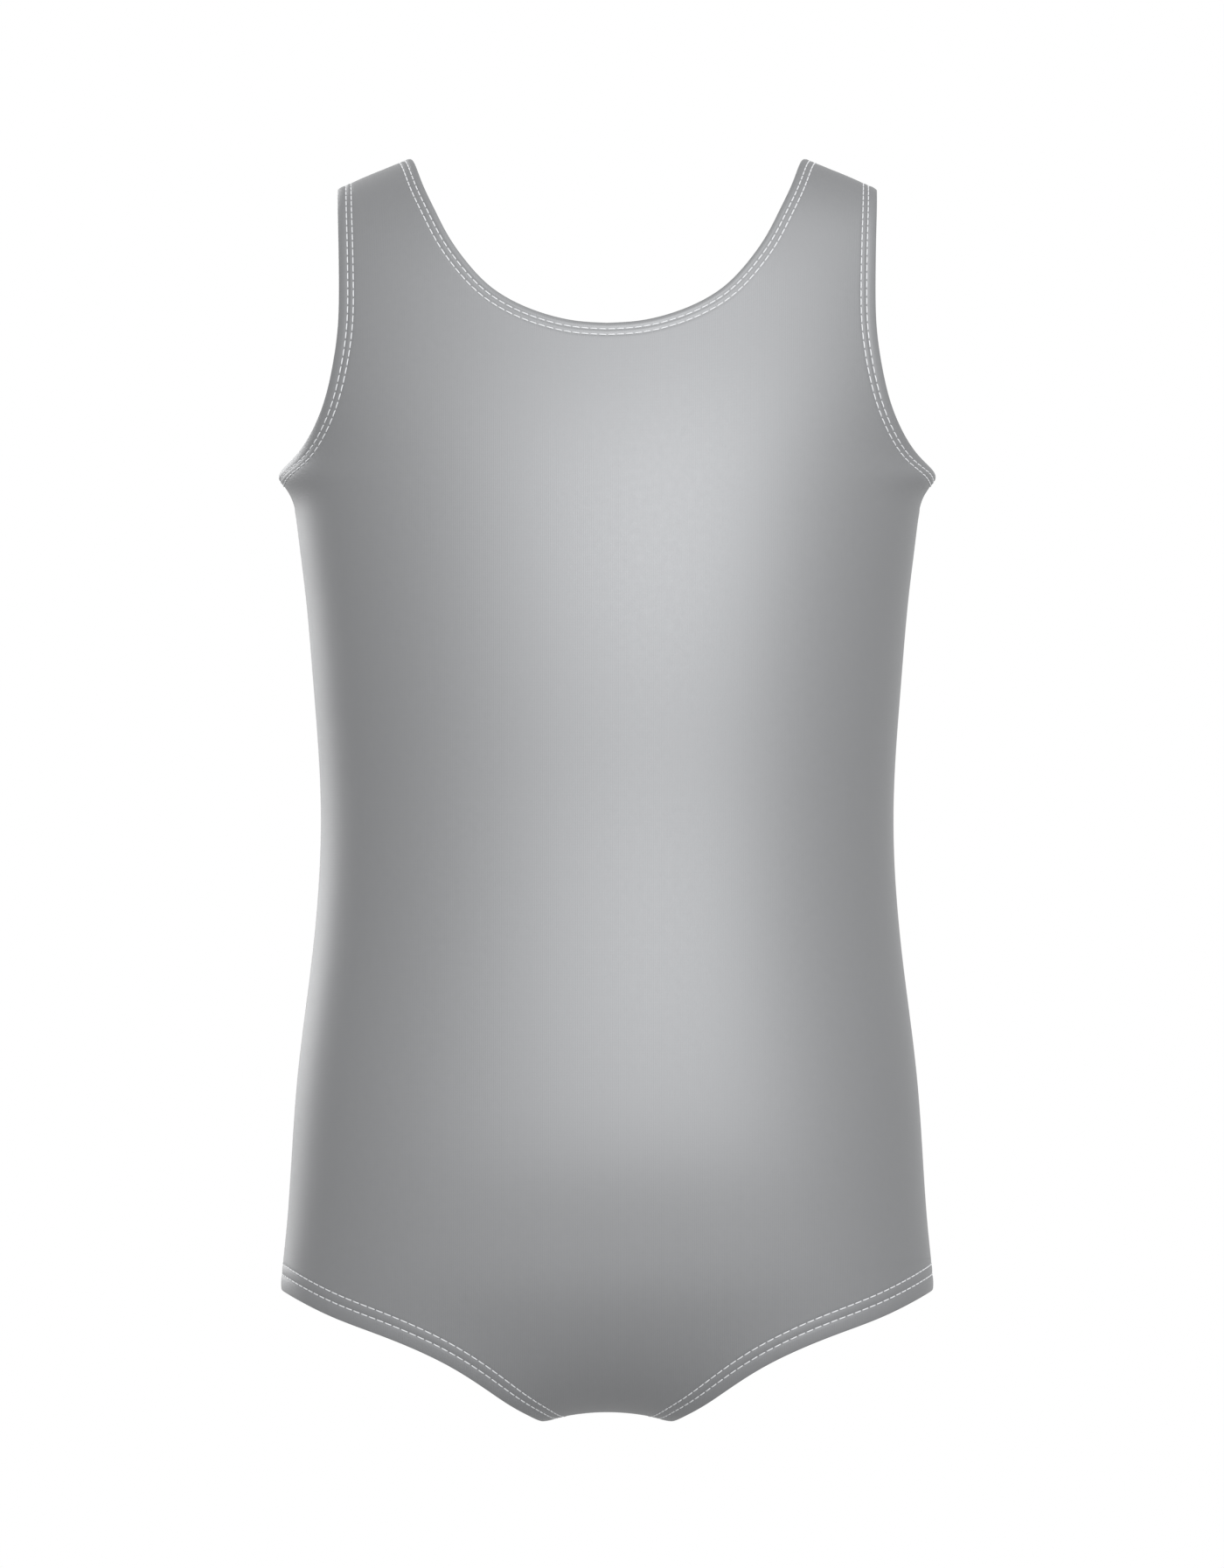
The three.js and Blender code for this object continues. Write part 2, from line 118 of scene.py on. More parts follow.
# How many steps each stretch of the cloth's boundary has.
LEG_STEPS = 90
SIDE_STEPS = 110
ARMHOLE_STEPS = 70
NECK_FRONT_STEPS = 45
NECK_BACK_STEPS = 66
COLUMNS = 32


# The form

def spline(knots, values):
    """A natural cubic curve through values at the knots."""
    knots = np.asarray(knots, float)
    values = np.asarray(values, float)
    gaps = np.diff(knots)
    matrix = np.eye(len(knots))
    right = np.zeros(len(knots))
    for i in range(1, len(knots) - 1):
        matrix[i, i - 1:i + 2] = gaps[i - 1], 2 * (gaps[i - 1] + gaps[i]), gaps[i]
        rise = (values[i + 1] - values[i]) / gaps[i]
        right[i] = 6 * (rise - (values[i] - values[i - 1]) / gaps[i - 1])
    bends = np.linalg.solve(matrix, right)

    def curve(at):
        i = np.clip(np.searchsorted(knots, at), 1, len(knots) - 1)
        gap = gaps[i - 1]
        low = (knots[i] - at) / gap
        high = 1 - low
        bend = (low ** 3 - low) * bends[i - 1] + (high ** 3 - high) * bends[i]
        return low * values[i - 1] + high * values[i] + bend * gap ** 2 / 6

    return curve


HIP_PATH = math.sqrt(HIP)
CROTCH_PATH = HIP_PATH + FORK_STEPS * FORK_PATH

# How many rows past the crotch seam the middle line is carried on, so that it closes smoothly.
LAP = 3


def middle_side(column):
    """Path, y and z of one side of the middle line, from the shoulder to the crotch seam."""
    rows = [(math.sqrt(row[DROP]), row[column], RISE * row[FALL] - row[DROP]) for row in LEVELS]
    tall = CROTCH_CENTRE_Z - CROTCH_Z
    hip_angle = math.acos((CROTCH_CENTRE_Z + HIP) / tall)
    reach = (LEVELS[-1][column] - CROTCH_Y) / math.sin(hip_angle)
    for step in range(1, FORK_STEPS + 1):
        angle = hip_angle * (1 - step / FORK_STEPS)
        y = CROTCH_Y + reach * math.sin(angle)
        rows.append((HIP_PATH + step * FORK_PATH, y, CROTCH_CENTRE_Z - tall * math.cos(angle)))
    return np.array(rows)


def middle_line():
    """y and z of the middle, right round the form."""
    front = middle_side(FRONT_Y)
    back = middle_side(BACK_Y) * (-1, 1, 1)
    lap = np.array((2 * CROTCH_PATH, 0, 0))
    rows = np.concatenate([
        front[-1 - LAP:-1] - lap,
        back[::-1][:-1],
        front,
        (back[-1 - LAP:-1] + lap)[::-1],
    ])
    rows = rows[np.argsort(rows[:, 0], kind="stable")]
    return spline(rows[:, 0], rows[:, 1]), spline(rows[:, 0], rows[:, 2])


def side_line():
    """x, y and z of the side, right round the form. At the crotch it is level."""
    rows = [
        (math.sqrt(row[DROP]), row[HALF], row[SIDE_Y], -row[DROP] - (1 - RISE) * row[FALL])
        for row in LEVELS
    ]
    hip = LEVELS[-1]
    leaving = 2 * HIP_PATH * FORK_STEPS * FORK_PATH
    for step in range(1, FORK_STEPS + 1):
        share = step / FORK_STEPS
        rows.append((
            HIP_PATH + step * FORK_PATH,
            hip[HALF] + (CROTCH_HALF - hip[HALF]) * share,
            hip[SIDE_Y] + (CROTCH_Y - hip[SIDE_Y]) * share,
            -HIP + (CROTCH_SIDE_Z + HIP) * share * share * (3 - 2 * share)
            - leaving * share * (1 - share) ** 2,
        ))
    down = np.array(rows)
    rows = np.concatenate([down[:0:-1] * (-1, 1, 1, 1), down])
    return [spline(rows[:, 0], rows[:, column]) for column in (1, 2, 3)]


MIDDLE = middle_line()
SIDE = side_line()
QUARTER = math.pi / 2


def across_form(angle):
    """How far out a level is at an angle from the middle."""
    return np.sin(angle + SQUARE * np.sin(2 * angle))


def depth_of_form(angle):
    """How deep a level is at an angle from the middle."""
    return np.cos(angle - SQUARE * np.sin(2 * angle))


def form(path, share):
    """Points of the skin. path is the root of the drop down to the hips, and from there it runs on
    evenly to the crotch seam. It is above 0 on the front and under 0 on the back. share is 0 in the
    middle and 1 at the side."""
    path, share = np.broadcast_arrays(np.asarray(path, float), np.asarray(share, float))
    at = np.where(path > CROTCH_PATH, path - 2 * CROTCH_PATH, path)
    at = np.where(path < -CROTCH_PATH, path + 2 * CROTCH_PATH, at)
    angle = share * QUARTER
    across = across_form(angle)
    side_x, side_y, side_z = (line(at) for line in SIDE)
    above = (at * at - UNDERARM) / FLARE["tall"]
    flare = FLARE["wide"] / (1 + above * above) ** FLARE["fade"]
    return np.stack([
        side_x * across + flare * np.abs(np.sin(angle)) ** FLARE["local"],
        side_y + (MIDDLE[0](at) - side_y) * depth_of_form(angle),
        side_z + (MIDDLE[1](at) - side_z) * (1 - across * across),
    ], axis=-1)


# The small step in path or share over which a slope is taken.
NUDGE = 1e-4


def unit(vectors):
    """The same vectors with length one."""
    return vectors / np.linalg.norm(vectors, axis=-1, keepdims=True)


def slopes(path, share):
    """The skin's points and how they move with path and with share."""
    here = form(path, share)
    along_path = (form(path + NUDGE, share) - here) / NUDGE
    along_share = (form(path, share + NUDGE) - here) / NUDGE
    return here, along_path, along_share


def outward(path, share):
    """The skin's outward normals."""
    _, along_path, along_share = slopes(path, share)
    return unit(np.cross(along_path, along_share))


def dots(one, other):
    """Row by row scalar products."""
    return np.einsum("...i,...i->...", one, other)


# Edges

# How many times a place is bettered, and how closely a curve is given before its places are evened.
SEEK_STEPS = 30
CLOSE = 1500

# The coarse grid on which the search for a place starts.
COARSE_PATHS = np.linspace(0, CROTCH_PATH, 97)
COARSE_SHARES = np.linspace(0, 1, 25)


def place_of(point, path, share, free):
    """Where the skin has this x and z, moving along what is free."""
    for _ in range(SEEK_STEPS):
        here, along_path, along_share = slopes(path, share)
        miss_x = point[0] - here[0]
        miss_z = point[1] - here[2]
        if free == "share":
            share += miss_x / along_share[0]
        elif free == "path":
            path += miss_z / along_path[2]
        else:
            area = along_path[0] * along_share[2] - along_path[2] * along_share[0]
            path += (miss_x * along_share[2] - miss_z * along_share[0]) / area
            share += (along_path[0] * miss_z - along_path[2] * miss_x) / area
    return path, share


def even(path, share, steps):
    """Places at even lengths along a curve that is given closely."""
    gaps = np.linalg.norm(np.diff(form(path, share), axis=0), axis=1)
    lengths = np.concatenate([[0], np.cumsum(gaps)])
    at = np.linspace(0, lengths[-1], steps + 1)
    return np.stack([np.interp(at, lengths, path), np.interp(at, lengths, share)], axis=1)


def nearest(point, side):
    """The place of a coarse grid that is nearest to an x and z."""
    grid = form(side * COARSE_PATHS[:, None], COARSE_SHARES[None, :])
    gaps = np.hypot(grid[..., 0] - point[0], grid[..., 2] - point[1])
    row, column = np.unravel_index(np.argmin(gaps), gaps.shape)
    return side * COARSE_PATHS[row], COARSE_SHARES[column]


def edge_places(points, side, low, high, steps):
    """Places along an edge. low and high say which path and share hold at its two ends."""
    found = []
    for i, point in enumerate(points):
        path, share = nearest(point, side)
        held = {0: low, len(points) - 1: high}.get(i, {})
        path = held.get("path", path)
        share = held.get("share", share)
        if len(held) == 2:
            found.append((path, share))
        else:
            free = "share" if "path" in held else "path" if "share" in held else "both"
            found.append(place_of(point, path, share, free))
    found = np.array(found)
    chords = np.linalg.norm(np.diff(form(found[:, 0], found[:, 1]), axis=0), axis=1)
    knots = np.concatenate([[0], np.cumsum(chords)])
    close = np.linspace(0, knots[-1], CLOSE)
    return even(spline(knots, found[:, 0])(close), spline(knots, found[:, 1])(close), steps)


# The walk's longest step over the cloth, and the least slope that it divides by.
STRIDE = 0.5
LEAST = 1e-9

# Turns a point of the right side into one of the left.
FLIP = np.array((-1.0, 1.0, 1.0))


class Edge:
    """One opening's edge: places in order along the front, then back along the back.

    kind is neck for the right half of the neck, armhole or leg for the right side's whole ring."""

    def __init__(self, kind, front, back, hem):
        self.kind = kind
        self.hem = hem
        self.front_steps = len(front) - 1
        self.whole = kind != "neck"
        rest = back[::-1][1:] if kind == "neck" else back[::-1][1:-1]
        self.places = np.concatenate([front, rest])
        points = form(*self.places.T)
        after = np.roll(points, -1, axis=0)
        before = np.roll(points, 1, axis=0)
        if not self.whole:
            before[0] = points[1] * FLIP
            after[-1] = points[-2] * FLIP
        normals = outward(*self.places.T)
        inward = -1 if kind == "armhole" else 1
        self.heading = inward * unit(np.cross(after - before, normals))
        height = points[:, 2] - points[:, 2].min()
        self.ease = hem["low"] + (hem["high"] - hem["low"]) * height / height.max()
        self.pinch = hem["pinch"] * np.exp(-height / PINCH_HEIGHT)

    def snap(self, places):
        """Keeps the ends of both halves on the seams and on the middle."""
        top = self.front_steps
        if self.kind == "neck":
            places[[0, -1], 1] = 0
            places[top, 0] = 0
        else:
            places[0, 1] = 1
            places[top, 0] = 0 if self.kind == "armhole" else CROTCH_PATH
        return places

    def eased(self, distance):
        """How much longer than asked a step is at this distance in, for each place."""
        hem_end = self.hem["second"]
        if distance < hem_end:
            return self.ease * (1 - self.pinch)
        return self.ease * (1 + self.pinch * hem_end / (BAND - hem_end))

    def inset(self, distances):
        """Places at these growing distances in from the edge, one row for each distance."""
        places = self.places.copy()
        walked = 0
        rows = []
        for distance in distances:
            steps = max(1, math.ceil((distance - walked) / STRIDE))
            length = (distance - walked) / steps
            for step in range(steps):
                eased = self.eased(walked + (step + 0.5) * length)
                _, along_path, along_share = slopes(*places.T)
                path_path = dots(along_path, along_path)
                path_share = dots(along_path, along_share)
                share_share = dots(along_share, along_share)
                path_on = dots(along_path, self.heading)
                share_on = dots(along_share, self.heading)
                area = path_path * share_share - path_share ** 2
                size = length * eased / np.sqrt(np.maximum(
                    (path_on ** 2 * share_share - 2 * path_on * share_on * path_share
                     + share_on ** 2 * path_path) / area, LEAST))
                places[:, 0] += size * (path_on * share_share - share_on * path_share) / area
                places[:, 1] += size * (share_on * path_path - path_on * path_share) / area
            walked = distance
            places = self.snap(places)
            rows.append(places.copy())
        return rows

    def half(self, row, side):
        """The front's or the back's own part of a row, from its low end to the seam."""
        if side > 0:
            return row[:self.front_steps + 1].copy()
        if self.kind == "neck":
            return row[self.front_steps:][::-1].copy()
        part = np.concatenate([row[self.front_steps:], row[:1]])[::-1].copy()
        part[0, 0] *= -1
        if self.kind == "leg":
            part[-1, 0] *= -1
        return part


def edge_pair(front, back, low, high, front_steps, back_steps):
    """The same edge on the front and on the back. low and high are for the front."""
    ends = [{key: -value if key == "path" else value for key, value in end.items()}
            for end in (low, high)]
    return (
        edge_places(front, 1, low, high, front_steps),
        edge_places(back, -1, *ends, back_steps),
    )


# What holds at the ends of the edges.
MIDDLE_END = {"share": 0.0}
SHOULDER_END = {"path": 0.0}
UNDERARM_END = {"path": math.sqrt(UNDERARM), "share": 1.0}
HIP_END = {"path": HIP_PATH, "share": 1.0}
CROTCH_END = {"path": CROTCH_PATH}

NECK = Edge("neck", *edge_pair(
    NECK_FRONT, NECK_BACK, MIDDLE_END, SHOULDER_END, NECK_FRONT_STEPS, NECK_BACK_STEPS,
), NECK_HEM)
ARMHOLE = Edge("armhole", *edge_pair(
    ARMHOLE_FRONT, ARMHOLE_BACK, UNDERARM_END, SHOULDER_END, ARMHOLE_STEPS, ARMHOLE_STEPS,
), ARMHOLE_HEM)
LEG_RING = Edge("leg", *edge_pair(
    LEG, LEG, HIP_END, CROTCH_END, LEG_STEPS, LEG_STEPS,
), LEG_HEM)

# Hem relief. A turned edge is a little fuller than the cloth, and each row of stitches draws it in.
FULL = 0.2
FULL_POWER = 0.8
FULL_BETWEEN = 0.5
DRAWN = 0.14
DRAWN_WIDE = 0.6


def relief(distance, hem):
    """How far the skin stands out at a distance from the edge."""
    span = (distance - ROLL) / (hem["first"] - ROLL)
    full = FULL * np.sin(np.pi * np.clip(span, 0, 1)) ** FULL_POWER
    between = (distance - hem["first"]) / (hem["second"] - hem["first"])
    full = full + FULL_BETWEEN * FULL * np.sin(np.pi * np.clip(between, 0, 1))
    for row in (hem["first"], hem["second"]):
        full = full - DRAWN * np.exp(-((distance - row) / DRAWN_WIDE) ** 2)
    return full


# Meshes

# Points closer than this are one point, and faces smaller than this are dropped.
WELD = 1e-4
NO_AREA = 1e-14

# The layer that says which way each point faces, until the shading takes it over.
FACING = "facing"


class Weave:
    """Gathers patches of a mesh, then welds them."""

    def __init__(self):
        self.points = []
        self.faces = []
        self.knit = []
        self.seam = []
        self.facing = []
        self.count = 0

    def add(self, points, knit, seam, facing=0.0):
        """Adds a sheet of points, rows by columns, with its cloth position and seam distance.

        facing is the way that each point faces, or nothing where its faces settle that."""
        rows, columns = points.shape[:2]
        index = self.count + np.arange(rows * columns).reshape(rows, columns)
        quads = np.stack([index[:-1, :-1], index[:-1, 1:], index[1:, 1:], index[1:, :-1]], axis=-1)
        self.points.append(points.reshape(-1, 3))
        self.knit.append(np.broadcast_to(knit, (rows, columns, 2)).reshape(-1, 2))
        self.seam.append(np.broadcast_to(seam, (rows, columns)).reshape(-1))
        self.facing.append(np.broadcast_to(facing, points.shape).reshape(-1, 3))
        self.faces.append(quads.reshape(-1, 4))
        self.count += rows * columns

    def build(self, name):
        """The welded mesh of this half and of the mirrored one, as an object."""
        points = np.concatenate(self.points)
        faces = np.concatenate(self.faces)
        knit = np.concatenate(self.knit)
        seam = np.concatenate(self.seam)
        facing = np.concatenate(self.facing)
        faces = np.concatenate([faces, faces[:, ::-1] + len(points)])
        points = np.concatenate([points, points * FLIP])
        facing = np.concatenate([facing, facing * FLIP])
        knit = np.concatenate([knit, knit * (-1, 1)])
        seam = np.concatenate([seam, seam])
        keys = np.round(points / WELD).astype(np.int64)
        _, first, welded = np.unique(keys, axis=0, return_index=True, return_inverse=True)
        corners = welded.reshape(-1)[faces]
        thing = mesh_object(name, points[first] * MM, corners, knit[faces], seam[faces])
        layer = thing.data.attributes.new(FACING, "FLOAT_VECTOR", "POINT")
        layer.data.foreach_set("vector", facing[first].reshape(-1).astype(np.float32))
        face_out(thing)
        face_as_told(thing.data)
        return thing


def face_as_told(mesh):
    """Shades each point the way that its layer says, and takes the layer away."""
    told = np.zeros(len(mesh.vertices) * 3, np.float32)
    mesh.attributes[FACING].data.foreach_get("vector", told)
    mesh.attributes.remove(mesh.attributes[FACING])
    mesh.normals_split_custom_set_from_vertices(told.reshape(-1, 3).tolist())


def mesh_object(name, points, faces, knit=None, seam=None):
    """A smooth mesh object from points in metres and faces of equal size."""
    mesh = bpy.data.meshes.new(name)
    mesh.from_pydata(points.tolist(), [], faces.tolist())
    for title, values in (("knit", knit), ("seam", seam)):
        if values is None:
            continue
        if values.ndim == 2:
            values = np.stack([values, np.zeros_like(values)], axis=-1)
        layer = mesh.uv_layers.new(name=title)
        layer.data.foreach_set("uv", values.reshape(-1).astype(np.float32))
    mesh.polygons.foreach_set("use_smooth", np.ones(len(mesh.polygons), bool))
    mesh.validate()
    mesh.update()
    thing = bpy.data.objects.new(name, mesh)
    bpy.context.scene.collection.objects.link(thing)
    return thing


def face_out(thing):
    """Turns a closed mesh's faces outward."""
    work = bmesh.new()
    work.from_mesh(thing.data)
    flat = [face for face in work.faces if face.calc_area() < NO_AREA]
    bmesh.ops.delete(work, geom=flat, context="FACES")
    bmesh.ops.recalc_face_normals(work, faces=work.faces)
    work.to_mesh(thing.data)
    work.free()
    return thing


# Position in the cloth

# The grid on which lengths in the cloth are measured. It reaches a little past the side seam.
LATTICE_PATHS = np.linspace(-CROTCH_PATH, CROTCH_PATH, 801)
LATTICE_SHARES = np.linspace(0, 1.05, 64)


def lattice():
    """The length across from the middle, and the length down the middle from the shoulder."""
    points = form(LATTICE_PATHS[:, None], LATTICE_SHARES[None, :])
    gaps = np.linalg.norm(np.diff(points, axis=1), axis=2)
    across = np.concatenate([np.zeros((len(points), 1)), np.cumsum(gaps, axis=1)], axis=1)
    steps = np.linalg.norm(np.diff(points[:, 0], axis=0), axis=1)
    down = np.concatenate([[0], np.cumsum(steps)])
    return across, down - np.interp(0, LATTICE_PATHS, down)


ACROSS, DOWN = lattice()


def in_cloth(places):
    """Millimetres across from the middle and down from the shoulder, in the cloth."""
    path = np.clip(places[..., 0], LATTICE_PATHS[0], LATTICE_PATHS[-1])
    share = np.clip(places[..., 1], 0, LATTICE_SHARES[-1])
    row = (path - LATTICE_PATHS[0]) / (LATTICE_PATHS[1] - LATTICE_PATHS[0])
    column = share / LATTICE_SHARES[1]
    low_row = np.minimum(row.astype(int), len(LATTICE_PATHS) - 2)
    low_column = np.minimum(column.astype(int), len(LATTICE_SHARES) - 2)
    up = row - low_row
    on = column - low_column
    across = (
        ACROSS[low_row, low_column] * (1 - up) * (1 - on)
        + ACROSS[low_row + 1, low_column] * up * (1 - on)
        + ACROSS[low_row, low_column + 1] * (1 - up) * on
        + ACROSS[low_row + 1, low_column + 1] * up * on
    )
    return np.stack([across, np.interp(path, LATTICE_PATHS, DOWN)], axis=-1)


# The panels

# The distance to a seam is not told beyond this.
FAR = 60.0

# The level in the middle from which rows run up to the underarm.
UNDERARM_LEVEL = 152.0


# Columns crowd towards the outer edge, and one stands just inside a seam, at this share of the way.
CROWDING = 1.4
NEAR_SEAM = 0.997


def columns():
    """Where the columns stand between the boundaries."""
    even_columns = np.linspace(0, 1, COLUMNS + 1)
    return np.insert(1 - (1 - even_columns) ** CROWDING, -1, NEAR_SEAM)


# How deep the skin is drawn in along a seam, and how wide. Past where this share of the depth is
# left, the skin faces as the form does.
SEAM_DROP = 0.22
SEAM_WIDE = 0.9
SEAM_LEFT = 0.05


def drawn_in(skin, out, seam):
    """The skin drawn in along its seams, and the way that it then faces."""
    drop = (SEAM_DROP * np.exp(-(seam / SEAM_WIDE) ** 2))[..., None]
    skin = skin - out * drop
    return skin, np.where(drop > SEAM_DROP * SEAM_LEFT, facing_of(skin, out), out)


def row_places(side, bands):
    """Inner and outer places of each row of the middle of a panel, from crotch to shoulder."""
    leg = LEG_RING.half(bands["leg"][-1], side)[::-1]
    armhole = ARMHOLE.half(bands["armhole"][-1], side)
    neck = NECK.half(bands["neck"][-1], side)
    close = np.linspace(0, 1, CLOSE)
    side_path = leg[-1, 0] + (armhole[0, 0] - leg[-1, 0]) * close
    seam = even(side_path, np.ones(CLOSE), SIDE_STEPS)
    outer = np.concatenate([leg, seam[1:-1], armhole])
    fork = even(leg[0, 0] + (leg[-1, 0] - leg[0, 0]) * close, np.zeros(CLOSE), LEG_STEPS)
    rest = len(outer) - len(neck) - LEG_STEPS
    level = side * math.sqrt(UNDERARM_LEVEL)
    stretches = [(leg[-1, 0], level, SIDE_STEPS), (level, neck[0, 0], rest - SIDE_STEPS)]
    middle = [
        even(start + (end - start) * close, np.zeros(CLOSE), steps)[:-1]
        for start, end, steps in stretches
    ]
    inner = np.concatenate([fork[:-1], *middle, neck])
    return inner, outer


def near_seams(places, side):
    """Distance to the nearest seam, worked out from the cloth's own lengths."""
    path = places[..., 0]
    here = in_cloth(places)
    edge = in_cloth(np.stack([path, np.ones_like(path)], axis=-1))
    on_side = np.where(np.abs(path) < HIP_PATH, edge[..., 0] - here[..., 0], FAR)
    shoulder = np.abs(here[..., 1])
    crotch = abs(np.interp(side * CROTCH_PATH, LATTICE_PATHS, DOWN)) - np.abs(here[..., 1])
    return np.minimum(FAR, np.minimum(np.maximum(on_side, 0), np.minimum(shoulder, crotch)))


# Under the hips the rows drop to the crotch near the middle, so that they stay clear of the leg.
FORK_BEND = 2.0


def panel_places(side, bands):
    """The grid of places of the middle of a panel."""
    inner, outer = row_places(side, bands)
    along = columns()
    bend = np.ones(len(inner))
    bend[:LEG_STEPS] = FORK_BEND
    back = (1 - along) ** bend[:, None]
    path = outer[:, :1] + (inner - outer)[:, :1] * back
    share = inner[:, 1:] + (outer - inner)[:, 1:] * along
    return np.stack([path, share], axis=-1)


# The distances from an edge at which its columns stand, and the rings at those distances. The roll
# starts in the first of them.
BAND_AT = np.linspace(ROLL, BAND, BAND_COLUMNS + 1)
EDGES = {"neck": NECK, "armhole": ARMHOLE, "leg": LEG_RING}
BANDS = {kind: edge.inset(BAND_AT) for kind, edge in EDGES.items()}


def panel(name, side):
    """One panel as a closed wall: the skin, the inside, and the roll along each turned edge."""
    weave = Weave()
    places = panel_places(side, BANDS)
    skin = form(places[..., 0], places[..., 1])
    normals = outward(places[..., 0], places[..., 1])
    inside = skin - normals * KNIT
    knit = in_cloth(places)
    seam = near_seams(places, side)
    skin, facing = drawn_in(skin, normals, seam)
    for sheet in (skin, inside):
        sheet[places[..., 1] == 0, 0] = 0
    weave.add(skin, knit, seam, facing)
    weave.add(inside[:, ::-1], knit[:, ::-1], seam[:, ::-1], -normals[:, ::-1])
    rim_rows = {}
    for kind, edge in EDGES.items():
        band = np.stack([edge.half(row, side) for row in BANDS[kind]], axis=1)
        skin_here = form(band[..., 0], band[..., 1])
        out = outward(band[..., 0], band[..., 1])
        inner_here = skin_here - out * KNIT
        knit_here = in_cloth(band)
        seam_here = near_seams(band, side)
        lifted = skin_here + out * relief(BAND_AT, edge.hem)[None, :, None] * fade_in(BAND_AT)
        lifted, _ = drawn_in(lifted, out, seam_here)
        for sheet in (lifted, inner_here):
            sheet[band[..., 1] == 0, 0] = 0
        weave.add(lifted, knit_here, seam_here, facing_of(lifted, out))
        weave.add(inner_here[:, ::-1], knit_here[:, ::-1], seam_here[:, ::-1], -out[:, ::-1])
        rim, rim_facing = roll_of(lifted[:, 0], skin_here[:, 1], out[:, 0])
        if kind == "neck":
            rim[0, :, 0] = 0
        rim = np.concatenate([rim, inner_here[:, :1]], axis=1)
        rim_facing = np.concatenate([rim_facing, -out[:, :1]], axis=1)
        weave.add(rim, knit_here[:, :1], seam_here[:, :1], rim_facing)
        rim_rows[kind] = (rim, lifted, inner_here)
    close_seams(weave, side, skin, inside, rim_rows)
    return weave.build(name)


# The last stretch of the band, over which the relief fades out.
FADE = 1.5


def fade_in(distance):
    """The relief fades out before the hem's own columns end."""
    gone = np.clip((BAND - distance) / FADE, 0, 1)
    return (gone * gone * (3 - 2 * gone))[None, :, None]


def facing_of(sheet, out):
    """The way that a sheet's own slopes face, on the same side as out."""
    facing = unit(np.cross(np.gradient(sheet, axis=0), np.gradient(sheet, axis=1)))
    return facing * np.sign(dots(facing, out))[..., None]


def roll_of(start, beside, out):
    """The half round of a turned edge, from the skin to under the hem, and the way it faces."""
    away = start - beside
    away = unit(away - dots(away, out)[:, None] * out)
    turn = np.linspace(0, np.pi, ROLL_STEPS + 1)[None, :, None]
    centre = (start - out * ROLL)[:, None]
    facing = np.cos(turn) * out[:, None] + np.sin(turn) * away[:, None]
    return centre + ROLL * facing, facing


def close_seams(weave, side, skin, inside, rims):
    """Closes the wall along the side, shoulder and crotch seams."""
    side_rows = slice(LEG_STEPS, LEG_STEPS + SIDE_STEPS + 1)
    strips = [
        (skin[0], inside[0]),
        (skin[-1], inside[-1]),
        (skin[side_rows, -1], inside[side_rows, -1]),
    ]
    for kind, ends in (("neck", (-1,)), ("armhole", (0, -1)), ("leg", (0, -1))):
        rim, lifted, under = rims[kind]
        for end in ends:
            strips.append((lifted[end], under[end]))
            turn = len(rim[end]) // 2
            strips.append((rim[end, :turn], rim[end, :turn - 1:-1]))
    for one, other in strips:
        weave.add(np.stack([one, other]), (0.0, 0.0), 0.0)


front_cloth = panel("front_cloth", 1)
back_cloth = panel("back_cloth", -1)


# Shader numbers

class Number:
    """A number in a material that takes part in sums."""

    def __init__(self, paint, socket):
        self.paint = paint
        self.socket = socket

    def sum(self, kind, *values):
        """One step of arithmetic."""
        settings = {"operation": kind}
        return Number(self.paint, self.paint.node("ShaderNodeMath", settings, values).outputs[0])

    def __add__(self, other):
        return self.sum("ADD", self, other)

    def __radd__(self, other):
        return self.sum("ADD", other, self)

    def __sub__(self, other):
        return self.sum("SUBTRACT", self, other)

    def __rsub__(self, other):
        return self.sum("SUBTRACT", other, self)

    def __mul__(self, other):
        return self.sum("MULTIPLY", self, other)

    def __rmul__(self, other):
        return self.sum("MULTIPLY", other, self)

    def __truediv__(self, other):
        return self.sum("DIVIDE", self, other)

    def __rtruediv__(self, other):
        return self.sum("DIVIDE", other, self)

    def sine(self):
        return self.sum("SINE", self)

    def absolute(self):
        return self.sum("ABSOLUTE", self)

    def exponent(self):
        return self.sum("EXPONENT", self)


